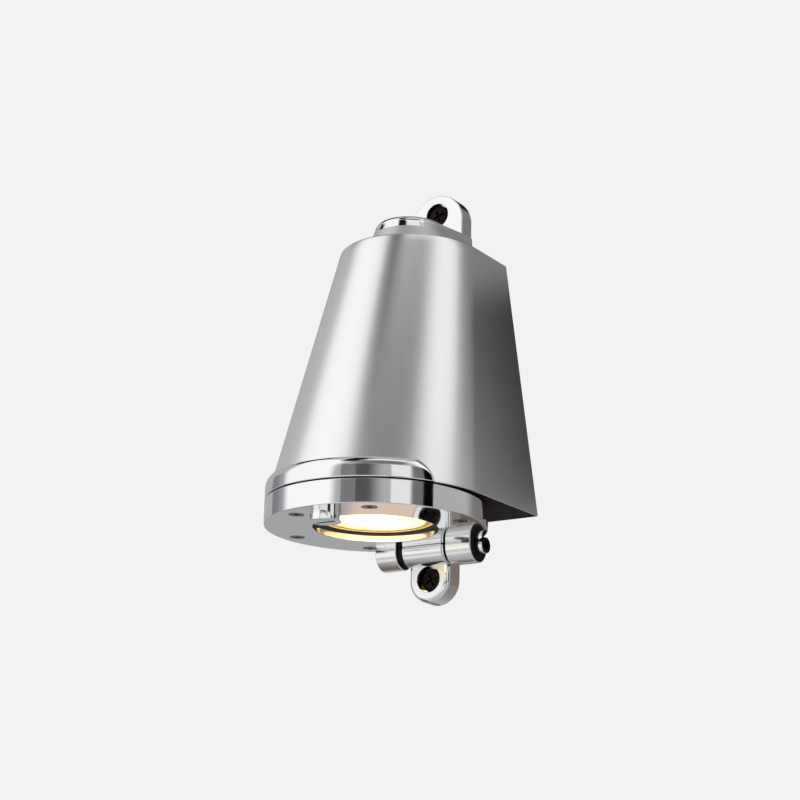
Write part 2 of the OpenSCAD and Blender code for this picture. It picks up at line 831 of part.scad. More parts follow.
// Ring tag under the earth screw with a strap and an upright crimp barrel
module earth_tag() {
    color([0.74, 0.72, 0.66])
        difference() {
            union() {
                translate([earth_x, -plate_t, earth_z])
                    rotate([90, 0, 0])
                        cylinder(r = 5, h = 1);
                translate([earth_x - 2, -plate_t - 1, earth_z])
                    cube([4, 1, crimp_z + 2 - earth_z]);
                translate([earth_x - 2, way_y, crimp_z])
                    cube([4, -plate_t - way_y, 2]);
                translate([earth_x, way_y, crimp_z])
                    cylinder(r = 2.3, h = crimp_h);
            }
            translate([earth_x, -plate_t + 1, earth_z])
                rotate([90, 0, 0])
                    cylinder(r = 2 + fit_gap, h = 3);
            translate([earth_x, way_y, crimp_z + 2])
                cylinder(r = lead_r + part_gap, h = crimp_h);
        }
}

// Rubber grommet in the cable hole
module cable_grommet() {
    color([0.07, 0.07, 0.07])
        translate([0, 0, entry_z])
            rotate([90, 0, 0])
                difference() {
                    union() {
                        cylinder(d = cable_d + 5 - 2 * fit_gap, h = plate_t);
                        translate([0, 0, plate_t])
                            cylinder(d = cable_d + 9, h = 2);
                    }
                    translate([0, 0, -1])
                        cylinder(d = cable_d, h = plate_t + 4);
                }
}

body_shell();
back_plate();
plate_screws();
top_cap();
cap_screws();
lid_ring();
lens_gasket();
lens_glass();
clamp_ring();
clamp_screws();
lid_seal();
hinge_pin();
hinge_spacer();
hinge_washer();
lock_screw();
lock_collar();
lamp_body();
lamp_front();
lamp_pins();
lampholder();
holder_screws();
lamp_bracket();
bracket_screws();
terminal_block();
terminal_screws();
terminal_fixings();
live_lead();
neutral_lead();
earth_lead();
earth_screw();
earth_tag();
cable_grommet();
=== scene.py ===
import math

import bmesh
import bpy
from mathutils import Matrix, Vector


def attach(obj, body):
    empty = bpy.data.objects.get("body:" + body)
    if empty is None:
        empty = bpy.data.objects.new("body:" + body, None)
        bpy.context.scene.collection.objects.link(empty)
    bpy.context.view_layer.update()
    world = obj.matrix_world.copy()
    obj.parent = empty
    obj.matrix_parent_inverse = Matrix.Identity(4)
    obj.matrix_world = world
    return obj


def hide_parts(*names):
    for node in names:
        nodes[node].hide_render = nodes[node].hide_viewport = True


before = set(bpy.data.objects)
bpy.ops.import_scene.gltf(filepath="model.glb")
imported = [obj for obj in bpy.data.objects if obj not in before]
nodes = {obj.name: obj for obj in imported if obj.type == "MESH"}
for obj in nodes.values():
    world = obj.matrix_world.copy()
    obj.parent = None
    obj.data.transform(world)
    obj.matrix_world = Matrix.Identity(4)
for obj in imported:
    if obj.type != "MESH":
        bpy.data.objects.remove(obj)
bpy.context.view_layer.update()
scene = bpy.context.scene
MM = 0.001

# Sizes in millimetres, most of them repeated from the part's source
BODY_Z, BODY_H = -66.6, 130.0
BASE_R, BASE_C, BASE_W = 53.0, 54.0, 108.4
TOP_R, TOP_C, TOP_W = 35.4, 31.2, 71.0
WALL_T, FLOOR_T, ROOF_T, BAND_H = 3.2, 8.0, 4.0, 9.5
OPENING_R = 33.5
LID_R, LID_C, LID_Z, LID_T, LID_FLAT = 52.0, 57.0, -78.6, 11.4, 7.5
LENS_R, LENS_LIP, GLASS_R, CLAMP_R, CLAMP_Z = 29.3, 3.4, 36.0, 46.6, -71.2
HINGE_Y, HINGE_Z, KNUCKLE_R, MID_R = -10.2, -80.4, 8.0, 7.2
MID_X, SPACER_T, WASHER_T, KNUCKLE_END = 11.2, 2.8, 2.0, 27.6
PIN_R, PIN_HEAD_R = 2.5, 3.8
CLAMP_SCREW_TURNS, CLAMP_SCREW_C = (30, 96, 145, -22, -88, -143), 43.6
LOCK_Y, LOCK_POCKET_R, LOCK_POCKET_H = -97.4, 3.3, 5.2
COLLAR_POCKET_R, COLLAR_POCKET_H, SHANK_HOLE_R = 3.8, 6.9, 2.3
KNOB_R, KNOB_H, SHANK_R, SHANK_TOP = 7.1, 5.1, 2.0, 4.6
FIX_Z = 94.0
STEM_W, STEM_T = 21.4, 6.9
LUG_W, LUG_T, LUG_BORE = 22.4, 10.5, 6.0
ULUG_W, ULUG_T, ULUG_BORE, ULUG_ABOVE = 30.0, 9.0, 4.0, 10.6
BORE_D, HOLE_D = 12.8, 5.5
CAP_H, BOSS_R, BOSS_C, BOSS_W = 15.7, 22.0, 34.0, 33.0
ROOF_Z = BODY_Z + BODY_H
PLATE_T, ENTRY_Z, GROMMET_R = 4.0, 46.0, 7.0
PLATE_SCREW_Z, PLATE_SCREW_IN = (16, BODY_H - 14), 3.2
SINK_R, SINK_HOLE_R, SINK_LIP = 4.4, 1.7, 0.5

# Clearance between neighbours and overrun of a cutting tool, in millimetres
GAP, PAST = 0.3, 1.0

# Metres that count as the same place, and the share of a normal that faces an axis
SAME, FACE_ON = 1e-7, 0.99

# The photograph's view: angles in degrees, distances in metres, image measures in pixels
VIEW_AZ, VIEW_EL, VIEW_ROLL = 33.87, -17.66, 1.59
VIEW_TARGET, VIEW_AWAY = Vector((0, -0.057, 0.0052)), 0.9376
FOCAL_PX, IMAGE_PX, SENSOR_MM = 1968.0, 800.0, 36.0
OFF_RIGHT_PX, OFF_UP_PX = 19.5, 43.2

# Place that the studio's panels face, and the studio's floor
CENTRE = Vector((0, -0.057, 0))
FLOOR_R, FLOOR_Z, FLOOR_SIDES = 4.5, -0.62, 96


# Direction from the part, with 0 at the front and 90 at the right
def toward(az, el):
    a, e = math.radians(az), math.radians(el)
    return Vector((math.sin(a) * math.cos(e), -math.cos(a) * math.cos(e), math.sin(e)))


# Matrix of three axes at a place
def axes_at(side, top, back, place):
    return Matrix((
        (side.x, top.x, back.x, place.x),
        (side.y, top.y, back.y, place.y),
        (side.z, top.z, back.z, place.z),
        (0, 0, 0, 1)))


# Camera at the photograph's viewing angle, turned so that the part lies off the middle
def make_camera():
    az, roll = math.radians(VIEW_AZ), math.radians(VIEW_ROLL)
    back = toward(VIEW_AZ, VIEW_EL)
    right = Vector((math.cos(az), math.sin(az), 0))
    up = back.cross(right)
    rolled_right = right * math.cos(roll) + up * math.sin(roll)
    rolled_up = up * math.cos(roll) - right * math.sin(roll)
    aim = back * FOCAL_PX - rolled_right * OFF_RIGHT_PX + rolled_up * OFF_UP_PX
    axis = aim.normalized()
    side = (rolled_right - axis * rolled_right.dot(axis)).normalized()
    data = bpy.data.cameras.new("camera")
    data.sensor_width = SENSOR_MM
    data.lens = FOCAL_PX * SENSOR_MM / IMAGE_PX
    data.clip_start = 0.02
    cam = bpy.data.objects.new("camera", data)
    cam.matrix_world = axes_at(side, axis.cross(side), axis, VIEW_TARGET + back * VIEW_AWAY)
    scene.collection.objects.link(cam)
    scene.camera = cam


make_camera()
scene.view_settings.view_transform = "Standard"


# A node material round one Principled shader, with noise in object coordinates
class Shader:
    def __init__(self, name):
        self.mat = bpy.data.materials.new(name)
        self.mat.use_nodes = True
        self.tree = self.mat.node_tree
        self.bsdf = self.tree.nodes["Principled BSDF"]
        self.coord = None

    def node(self, kind, **values):
        n = self.tree.nodes.new(kind)
        for key, value in values.items():
            setattr(n, key, value)
        return n

    def link(self, a, b):
        self.tree.links.new(a, b)

    def set(self, **values):
        for key, value in values.items():
            self.bsdf.inputs[key.replace("_", " ")].default_value = value
        return self

    def place(self):
        if self.coord is None:
            self.coord = self.node("ShaderNodeTexCoord").outputs["Object"]
        return self.coord

    def mapped(self, **values):
        m = self.node("ShaderNodeMapping")
        for key, value in values.items():
            m.inputs[key].default_value = value
        self.link(self.place(), m.inputs["Vector"])
        return m.outputs["Vector"]

    def noise(self, scale, detail=3.0, stretch=None):
        n = self.node("ShaderNodeTexNoise")
        n.inputs["Scale"].default_value = scale
        n.inputs["Detail"].default_value = detail
        where = self.mapped(Scale=stretch) if stretch else self.place()
        self.link(where, n.inputs["Vector"])
        return n.outputs["Fac"]

    def distance(self, where, point):
        d = self.node("ShaderNodeVectorMath", operation="DISTANCE")
        d.inputs[1].default_value = point
        self.link(where, d.inputs[0])
        return d.outputs["Value"]

    def combine(self, operation, a, b):
        m = self.node("ShaderNodeMath", operation=operation)
        self.link(a, m.inputs[0])
        self.link(b, m.inputs[1])
        return m.outputs["Value"]

    def ramp(self, source, stops):
        r = self.node("ShaderNodeValToRGB")
        items = r.color_ramp.elements
        while len(items) < len(stops):
            items.new(0.5)
        for item, (at, colour) in zip(items, stops):
            item.position = at
            item.color = (*colour, 1.0)
        self.link(source, r.inputs["Fac"])
        return r.outputs["Color"]

    def span(self, source, low, high, a=0.0, b=1.0, kind="LINEAR"):
        m = self.node("ShaderNodeMapRange", interpolation_type=kind)
        m.inputs["From Min"].default_value = a
        m.inputs["From Max"].default_value = b
        m.inputs["To Min"].default_value = low
        m.inputs["To Max"].default_value = high
        self.link(source, m.inputs["Value"])
        return m.outputs["Result"]

    def bump(self, source, strength, distance):
        b = self.node("ShaderNodeBump")
        b.inputs["Strength"].default_value = strength
        b.inputs["Distance"].default_value = distance
        self.link(source, b.inputs["Height"])
        self.link(b.outputs["Normal"], self.bsdf.inputs["Normal"])

    def colour(self, source):
        self.link(source, self.bsdf.inputs["Base Color"])

    def rough(self, source):
        self.link(source, self.bsdf.inputs["Roughness"])


def darker(tone, share):
    return tuple(share * c for c in tone)


# Satin metal with fine upright brushing over a broad, faint unevenness
def brushed_metal():
    s = Shader("satin_metal").set(Metallic=1.0)
    fine = s.noise(1.0, 2.0, (420, 420, 4))
    broad = s.noise(24.0, 3.0)
    s.colour(s.ramp(fine, [(0.25, (0.872, 0.872, 0.882)), (0.75, (0.89, 0.89, 0.90))]))
    both = s.node("ShaderNodeMix", data_type="FLOAT")
    both.inputs["Factor"].default_value = 0.3
    s.link(fine, both.inputs["A"])
    s.link(broad, both.inputs["B"])
    s.rough(s.span(both.outputs["Result"], 0.275, 0.295, 0.3, 0.7))
    s.bump(fine, 0.003, 0.00003)
    return s.mat


# Polished metal with faint smears; low and high are its roughness
def chrome(name, tone=(0.86, 0.865, 0.875), low=0.035, high=0.085):
    s = Shader(name).set(Metallic=1.0)
    smear = s.noise(60.0, 4.0)
    fine = s.noise(900.0, 2.0)
    s.colour(s.ramp(smear, [(0.3, darker(tone, 0.97)), (0.7, tone)]))
    s.rough(s.span(smear, low, high, 0.3, 0.7))
    s.bump(fine, 0.02, 0.00005)
    return s.mat


# Plain grained metal for screws, brackets and contacts
def steel(name, tone, low=0.22, high=0.4):
    s = Shader(name).set(Metallic=1.0)
    grain = s.noise(700.0, 4.0)
    s.colour(s.ramp(grain, [(0.3, darker(tone, 0.72)), (0.62, tone)]))
    s.rough(s.span(grain, low, high, 0.3, 0.7))
    s.bump(grain, 0.06, 0.0001)
    return s.mat


# Grained plastic, rubber or ceramic, and the near-black matte used as painted shade
def matte(name, tone, low, high, scale=500.0, depth=0.12, shine=0.5):
    s = Shader(name).set(Specular_IOR_Level=shine)
    grain = s.noise(scale, 5.0)
    s.colour(s.ramp(grain, [(0.32, darker(tone, 0.78)), (0.68, tone)]))
    s.rough(s.span(grain, low, high, 0.3, 0.7))
    s.bump(grain, depth, 0.0002)
    return s.mat


# Ribbed lens with a dark ring between its middle and its rim. The lamp behind it is painted into
# the glass as a glow: the glass itself emits, brightest in the middle, and its base colour follows
# the same painted glow, paler in the middle and amber toward the rim
def lens_material():
    middle, reach = (0.0, -0.057, -0.0742), 0.034
    ring_in, ring_a, ring_b, ring_out = 0.69, 0.715, 0.755, 0.78
    s = Shader("lens_glass").set(Roughness=0.06, IOR=1.46, Transmission_Weight=0.55)
    ribs = s.node("ShaderNodeTexWave", wave_type="RINGS", rings_direction="Z")
    ribs.inputs["Scale"].default_value = 55.0
    ribs.inputs["Distortion"].default_value = 0.6
    ribs.inputs["Detail"].default_value = 1.0
    s.link(s.mapped(Location=tuple(-c for c in middle)), ribs.inputs["Vector"])
    far = s.span(s.distance(s.place(), middle), 0.0, 1.0, 0.0, reach)
    # Painted glow: emission colour, warm white in the middle and amber toward the rim, dark in the
    # ring
    light = s.ramp(far, [
        (0.0, (1.0, 0.94, 0.76)), (0.45, (1.0, 0.87, 0.52)), (ring_in, (1.0, 0.74, 0.30)),
        (ring_a, (0.30, 0.17, 0.02)), (ring_b, (0.30, 0.17, 0.02)),
        (ring_out, (0.95, 0.66, 0.20)), (1.0, (0.62, 0.38, 0.10))])
    # Base colour follows the painted glow: pale in the middle, amber toward the rim, dark in the
    # ring
    s.colour(s.ramp(far, [
        (0.0, (1.0, 0.98, 0.92)), (ring_in, (0.95, 0.86, 0.62)),
        (ring_a, (0.30, 0.18, 0.04)), (ring_b, (0.30, 0.18, 0.04)),
        (ring_out, (0.95, 0.84, 0.58)), (1.0, (0.9, 0.8, 0.55))]))
    s.link(light, s.bsdf.inputs["Emission Color"])
    # Painted glow strength, falling from the middle to the rim
    s.link(s.span(far, 0.95, 0.3), s.bsdf.inputs["Emission Strength"])
    s.bump(ribs.outputs["Fac"], 0.10, 0.0003)
    return s.mat


# Lit lamp front with a pattern of small cells
def lamp_material():
    s = Shader("lamp_light").set(Roughness=0.3, Emission_Strength=3.0)
    cells = s.node("ShaderNodeTexVoronoi")
    cells.inputs["Scale"].default_value = 260.0
    s.link(s.place(), cells.inputs["Vector"])
    deep = cells.outputs["Distance"]
    tone = s.ramp(deep, [(0.0, (1.0, 0.93, 0.74)), (0.8, (1.0, 0.80, 0.48))])
    s.colour(tone)
    s.link(tone, s.bsdf.inputs["Emission Color"])
    s.bump(deep, 0.3, 0.0004)
    return s.mat


# Bright metal with painted shade: painted black to the right of a given place and, if asked,
# within a core round the pin, where the parts fall in shadow
def metal_with_painted_shade(name, split, core=None):
    blur = 0.00004
    s = Shader(name).set(Metallic=1.0)
    where = s.node("ShaderNodeSeparateXYZ")
    s.link(s.place(), where.inputs["Vector"])
    # Painted shade: black beyond the split
    black = s.span(where.outputs["X"], 0.0, 1.0, split - blur, split + blur)
    if core:
        off_axis = s.distance(s.mapped(Scale=(0, 1, 1)), (0, HINGE_Y * MM, HINGE_Z * MM))
        inside = s.span(off_axis, 1.0, 0.0, core - blur, core + blur)
        black = s.combine("MAXIMUM", black, inside)
    s.colour(s.ramp(black, [(0.0, (0.86, 0.865, 0.875)), (1.0, (0.004, 0.004, 0.004))]))
    s.rough(s.span(s.noise(60.0, 4.0), 0.06, 0.14, 0.3, 0.7))
    return s.mat


satin = brushed_metal()
polished = chrome("polished_metal")
turned = chrome("turned_metal", (0.84, 0.84, 0.845), 0.15, 0.24)
cap_metal = chrome("cap_metal", (0.74, 0.75, 0.76), 0.46, 0.56)
screw_steel = steel("screw_steel", (0.42, 0.42, 0.43))
dark_screw = steel("dark_screw", (0.016, 0.013, 0.012), 0.30, 0.48)
clamp_dark = steel("clamp_screw_steel", (0.035, 0.035, 0.037), 0.14, 0.26)
bracket_steel = steel("bracket_steel", (0.55, 0.55, 0.56))
brass = steel("contact_brass", (0.72, 0.58, 0.30))
# Near-black matte that is painted shade, not a finish of the part: it darkens the housing's
# underside, the knuckles' end faces and the lid's pin recess, where they fall in shadow
painted_shade_dark = matte("painted_shade_matte", (0.016, 0.012, 0.011), 0.6, 0.8, shine=0.12)
rubber = matte("black_rubber", (0.022, 0.022, 0.022), 0.55, 0.8)
nylon = matte("black_nylon", (0.007, 0.0065, 0.0065), 0.40, 0.60, shine=0.14)
shell = matte("lamp_shell", (0.80, 0.80, 0.78), 0.18, 0.3, 300.0, 0.03)
ceramic = matte("white_ceramic", (0.88, 0.86, 0.80), 0.4, 0.6)
cream = matte("cream_plastic", (0.85, 0.82, 0.72), 0.4, 0.55)
brown = matte("brown_sleeve", (0.30, 0.14, 0.06), 0.4, 0.55)
blue = matte("blue_sleeve", (0.06, 0.16, 0.45), 0.4, 0.55)
green = matte("green_sleeve", (0.12, 0.36, 0.10), 0.4, 0.55)
glass = lens_material()
glow = lamp_material()
# Painted shade on the hinge: the pin's end face and its shank inside the core are painted black
# for the shadowed end and the gaps between knuckles; the washer's right part is painted black for
# the shadow in the gap beside the right knuckle
pin_end = max(v.co.x for v in nodes["hinge_pin"].data.vertices)
pin_painted_shade = metal_with_painted_shade("pin_painted_shade", pin_end - 0.0003, (PIN_HEAD_R - 0.5) * MM)
washer_painted_shade = metal_with_painted_shade("washer_painted_shade", (MID_X + WASHER_T * 0.3) * MM)

# Finish of each CAD node, the replaced ones too
finishes = {
    "body_shell": satin, "back_plate": polished, "top_cap": polished, "lid_ring": polished,
    "lock_screw": polished, "clamp_ring": satin, "clamp_screws": clamp_dark,
    "plate_screws": screw_steel, "cap_screws": screw_steel, "holder_screws": screw_steel,
    "bracket_screws": screw_steel, "terminal_fixings": screw_steel, "lock_collar": screw_steel,
    "lens_gasket": rubber, "lid_seal": rubber, "cable_grommet": rubber, "lens_glass": glass,
    "hinge_pin": pin_painted_shade, "hinge_spacer": nylon, "hinge_washer": washer_painted_shade,
    "lamp_body": shell, "lamp_front": glow, "lamp_pins": brass, "lampholder": ceramic,
    "lamp_bracket": bracket_steel, "terminal_block": cream, "terminal_screws": brass,
    "live_lead": brown, "neutral_lead": blue, "earth_lead": green,
    "earth_screw": brass, "earth_tag": brass,
}
for name, mat in finishes.items():
    for held in nodes[name].material_slots:
        held.material = mat


# Mesh helpers, all in millimetres of the shared frame
def mesh_object(name, verts, faces, mat):
    mesh = bpy.data.meshes.new(name)
    mesh.from_pydata([tuple(c * MM for c in v) for v in verts], [], faces)
    bm = bmesh.new()
    bm.from_mesh(mesh)
    bmesh.ops.recalc_face_normals(bm, faces=bm.faces)
    bm.to_mesh(mesh)
    bm.free()
    mesh.materials.append(mat)
    obj = bpy.data.objects.new(name, mesh)
    scene.collection.objects.link(obj)
    return obj


def shade(obj, angle):
    for p in obj.data.polygons:
        p.use_smooth = True
    obj.data.set_sharp_from_angle(angle=math.radians(angle))
    return obj


# Keeps flat faces flat beside rounded edges
def weigh(obj):
    m = obj.modifiers.new("flat", "WEIGHTED_NORMAL")
    m.keep_sharp = True
    m.weight = 100


# Turns an object's modifiers into its mesh
def bake(obj):
    bpy.context.view_layer.update()
    deps = bpy.context.evaluated_depsgraph_get()
    mesh = bpy.data.meshes.new_from_object(obj.evaluated_get(deps))
    obj.modifiers.clear()
    obj.data = mesh


def cut(obj, *tools):
    for tool in tools:
        m = obj.modifiers.new("cut", "BOOLEAN")
        m.operation = "DIFFERENCE"
        m.solver = "EXACT"
        m.object = tool
    bake(obj)
    for tool in tools:
        bpy.data.objects.remove(tool)


def bevel(obj, width, segments):
    m = obj.modifiers.new("bevel", "BEVEL")
    m.width = width * MM
    m.segments = segments
    m.limit_method = "ANGLE"
    m.angle_limit = math.radians(40)
    m.use_clamp_overlap = True
    bake(obj)


def arc(cx, cy, r, a0, a1, n):
    turns = [math.radians(a0 + (a1 - a0) * i / n) for i in range(n + 1)]
    return [(cx + r * math.cos(t), cy + r * math.sin(t)) for t in turns]


# Turns a profile of (radius, height) points round an axis
def lathe(name, profile, mat, centre=(0, 0, 0), axis="Z", turns=192, start=0.0, sweep=360.0,
          closed=True):
    full = sweep >= 360
    count = turns if full else turns + 1
    verts, faces = [], []
    for i in range(count):
        a = math.radians(start + sweep * i / turns)
        for r, h in profile:
            p = (r * math.cos(a), r * math.sin(a), h)
            if axis == "X":
                p = (p[2], p[0], p[1])
            if axis == "Y":
                p = (p[0], -p[2], p[1])
            verts.append(tuple(p[k] + centre[k] for k in range(3)))
    n = len(profile)
    last = n if closed else n - 1
    for i in range(count if full else count - 1):
        j = (i + 1) % count
        for k in range(last):
            m = (k + 1) % n
            faces.append((i * n + k, j * n + k, j * n + m, i * n + m))
    if closed and not full:
        faces.append(tuple(range(n)))
        faces.append(tuple((count - 1) * n + k for k in range(n)))
    obj = mesh_object(name, verts, faces, mat)
    bm = bmesh.new()
    bm.from_mesh(obj.data)
    bmesh.ops.remove_doubles(bm, verts=bm.verts, dist=SAME)
    bmesh.ops.dissolve_degenerate(bm, edges=bm.edges, dist=SAME)
    bmesh.ops.recalc_face_normals(bm, faces=bm.faces)
    bm.to_mesh(obj.data)
    bm.free()
    return obj


def rod(name, r, low, high, mat, centre, axis, turns):
    profile = [(0, low), (r, low), (r, high), (0, high)]
    return lathe(name, profile, mat, centre, axis, turns, closed=False)


def prism(name, outline, low, high, mat, axis="Y"):
    n = len(outline)
    verts = []
    for h in (low, high):
        for a, b in outline:
            verts.append((a, h, b) if axis == "Y" else (a, b, h))
    faces = [(i, (i + 1) % n, n + (i + 1) % n, n + i) for i in range(n)]
    faces += [tuple(range(n)), tuple(range(n, 2 * n))]
    return mesh_object(name, verts, faces, mat)


def block(name, low, high, mat):
    outline = [(low[0], low[1]), (high[0], low[1]), (high[0], high[1]), (low[0], high[1])]
    return prism(name, outline, low[2], high[2], mat, "Z")


# Outline with a round front and straight sides that run to the wall
def d_outline(r, c, w, arc_n, side_n, back=0.0):
    px, py = w / 2, back
    d = math.hypot(px, py + c)
    a0 = math.atan2(py + c, px) - math.acos(min(1.0, r / d))
    dx, dy = r * math.cos(a0) - px, -c + r * math.sin(a0) - py
    right = [(px + dx * i / side_n, py + dy * i / side_n) for i in range(side_n)]
    front = []
    for i in range(arc_n + 1):
        a = a0 - (math.pi + 2 * a0) * i / arc_n
        front.append((r * math.cos(a), -c + r * math.sin(a)))
    return right + front + [(-x, y) for x, y in reversed(right)]


# Solid through a stack of outlines with the same number of points
def loft(name, rows, mat):
    n = len(rows[0][0])
    verts = [(x, y, z) for outline, z in rows for x, y in outline]
    faces = []
    for k in range(len(rows) - 1):
        for i in range(n):
            j = (i + 1) % n
            faces.append((k * n + i, k * n + j, (k + 1) * n + j, (k + 1) * n + i))
    faces.append(tuple(range(n)))
    faces.append(tuple((len(rows) - 1) * n + i for i in range(n)))
    return mesh_object(name, verts, faces, mat)


# Adds a second finish to an object and gives it to all its faces or to none
def second_finish(obj, mat, use=True):
    obj.data.materials.append(mat)
    for p in obj.data.polygons:
        p.material_index = 1 if use else 0


# Joins objects into the first one, with its finishes
def make_one(name, objs):
    bm = bmesh.new()
    for o in objs:
        bm.from_mesh(o.data)
    first = objs[0]
    for o in objs[1:]:
        bpy.data.objects.remove(o)
    mesh = bpy.data.meshes.new(name)
    bm.to_mesh(mesh)
    bm.free()
    for mat in first.data.materials:
        mesh.materials.append(mat)
    first.data = mesh
    first.name = name
    shade(first, 32)


# Rounds the edges of a prism's front face
def bevel_front(obj, front, width):
    bm = bmesh.new()
    bm.from_mesh(obj.data)
    edges = [e for e in bm.edges if all(abs(v.co.y - front * MM) < SAME for v in e.verts)]
    bmesh.ops.bevel(bm, geom=edges, offset=width * MM, segments=6, profile=0.5,
                    affect="EDGES", clamp_overlap=True)
    bmesh.ops.recalc_face_normals(bm, faces=bm.faces)
    bm.to_mesh(obj.data)
    bm.free()


# Stepped tool for a screw hole with a counterbore and a softened mouth
def bore_tool(z, thick, depth):
    r, hole, lip = BORE_D / 2, HOLE_D / 2, 0.25
    profile = [(0, -PAST), (hole, -PAST), (hole, thick - depth), (r, thick - depth),
               (r, thick - lip)]
    for turn in (30, 60, 90):
        t = math.radians(turn)
        profile.append((r + lip - lip * math.cos(t), thick - lip + lip * math.sin(t)))
    profile += [(r + lip, thick + PAST), (0, thick + PAST)]
    return lathe("tool", profile, polished, (0, 0, z), "Y", 64, closed=False)


# Tool profile for a countersunk screw hole
def sink_profile(depth, thick):
    return [(0, -SINK_LIP), (SINK_R, -SINK_LIP), (SINK_HOLE_R, depth),
            (SINK_HOLE_R, thick + PAST), (0, thick + PAST)]


# Tool for the pocket in the housing floor that takes the lock screw's end
def lock_pocket():
    return rod("lock_pocket", LOCK_POCKET_R, BODY_Z - PAST, BODY_Z + LOCK_POCKET_H, satin,
               (0, LOCK_Y, 0), "Z", 48)


# Hinge knuckle with softened ends, in the turned finish
def make_knuckle(r, x0, x1):
    hole, soft = PIN_R + 0.05, 0.5
    profile = [(hole, x0), (r - soft, x0)] + arc(r - soft, x0 + soft, soft, -90, 0, 4)
    profile += arc(r - soft, x1 - soft, soft, 0, 90, 4) + [(hole, x1)]
    knuckle = lathe("knuckle", profile, polished, (0, HINGE_Y, HINGE_Z), "X", 96)
    second_finish(knuckle, turned)
    return knuckle


# Value at a height above the housing's foot, between its foot and its roof
def part_way(a, b, z):
    return a + (b - a) * z / BODY_H


def body_row(z, inset=0.0, back=0.0):
    r = part_way(BASE_R, TOP_R, z) - inset
    c = part_way(BASE_C, TOP_C, z)
    w = part_way(BASE_W, TOP_W, z) - 2 * inset
    return d_outline(r, c, w, 128, 8, back), BODY_Z + z


def plate_screw_places():
    places = []
    for z in PLATE_SCREW_Z:
        x = part_way(BASE_W, TOP_W, z) / 2 - WALL_T - PLATE_SCREW_IN
        places += [(-x, 0, BODY_Z + z), (x, 0, BODY_Z + z)]
    return places


# Satin housing with a softened roof edge, hollow and open at the back, and its screw bosses
def make_housing():
    foot, edge, side_rows, edge_rows = 0.35, 0.9, 36, 5
    down, foot_top = -0.9, BODY_Z + 0.2
    side_h = BODY_H - edge - foot
    rows = [body_row(0.0, foot), body_row(foot)]
    rows += [body_row(foot + side_h * i / side_rows) for i in range(1, side_rows + 1)]
    for i in range(1, edge_rows + 1):
        a = math.radians(90 * i / edge_rows)
        rows.append(body_row(BODY_H - edge + edge * math.sin(a), edge * (1 - math.cos(a))))
    skin = loft("housing_skin", rows, satin)
    inside = [body_row(z, WALL_T, PAST) for z in (FLOOR_T, BODY_H - ROOF_T)]
    low, high = BODY_Z - PAST, BODY_Z + FLOOR_T + PAST
    slot_x, slot_y = STEM_W / 2 + GAP, STEM_T + GAP
    cut(skin,
        loft("hollow", inside, satin),
        rod("opening", OPENING_R, low, high, satin, (0, -LID_C, 0), "Z", 160),
        block("stem_slot", (-slot_x, -slot_y, low), (slot_x, PAST, high), satin),
        lock_pocket())
    shade(skin, 30)
    # Painted shade: the housing's downward faces at its foot get the near-black matte, for the
    # shadow under the housing's overhang beside the lid
    skin.data.materials.append(painted_shade_dark)
    for p in skin.data.polygons:
        if p.normal.z < down and p.center.z < foot_top * MM:
            p.material_index = 1
    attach(skin, "housing")
    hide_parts("body_shell")
    hole, r, chamfer, near, far = 1.6, 4.5, 0.4, 4.3, 16.3
    profile = [(hole, near), (r - chamfer, near), (r, near + chamfer), (r, far), (hole, far)]
    bosses = [lathe("boss", profile, satin, at, "Y", 48) for at in plate_screw_places()]
    make_one("housing_bosses", bosses)
    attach(bosses[0], "housing")
    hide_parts("body_shell")


# Angle of a point round the lid's centre, from the front
def front_angle(co):
    return math.degrees(math.atan2(co.x, -LID_C * MM - co.y))


# Polished band with a crown that runs out at its ends, and the satin flare above it
def make_band():
    crown_r, shoulder, ends, run_out, thinnest = 6.5, 5.0, 63.5, 52, 0.03
    flare_r, flare_from, flare_to = 8.1, 262, 215
    foot_r, lap, flare_lap, flare_in = 0.5, 0.1, 0.6, 1.5
    inner, under, inner_top = OPENING_R + 6, LID_R - 9, FLOOR_T - 1
    rise = BAND_H - shoulder
    top_r = LID_R - crown_r + math.sqrt(crown_r * crown_r - rise ** 2)
    lean = math.degrees(math.asin(rise / crown_r))
    profile = [(inner, 0)] + arc(LID_R - foot_r, foot_r, foot_r, -90, 0, 4)
    profile += arc(LID_R - crown_r, shoulder, crown_r, 0, lean, 12)
    profile += [(under, BAND_H - lap), (under, inner_top), (inner, inner_top)]
    at = (0, -LID_C, BODY_Z)
    band = lathe("housing_band", profile, polished, at, "Z", 160, 270 - ends, 2 * ends)
    cut(band, lock_pocket())
    for v in band.data.vertices:
        past = min(1.0, max(0.0, (abs(front_angle(v.co)) - run_out) / (ends - run_out)))
        share = max(thinnest, math.sqrt(1 - past * past))
        v.co.z = BODY_Z * MM + (v.co.z - BODY_Z * MM) * share
    shade(band, 30)
    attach(band, "housing")
    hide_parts("body_shell")
    flare = arc(top_r, BAND_H + flare_r, flare_r, flare_from, flare_to, 12)
    flare_top = BAND_H + flare_r * (1 - math.sin(math.radians(flare_to - 180)))
    profile = flare + [(under, flare_top), (under, BAND_H - flare_lap),
                       (flare[0][0] - flare_in, BAND_H - flare_lap)]
    rim = lathe("housing_flare", profile, satin, at, "Z", 128, 180, 180)
    shade(rim, 30)
    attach(rim, "housing")
    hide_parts("body_shell")


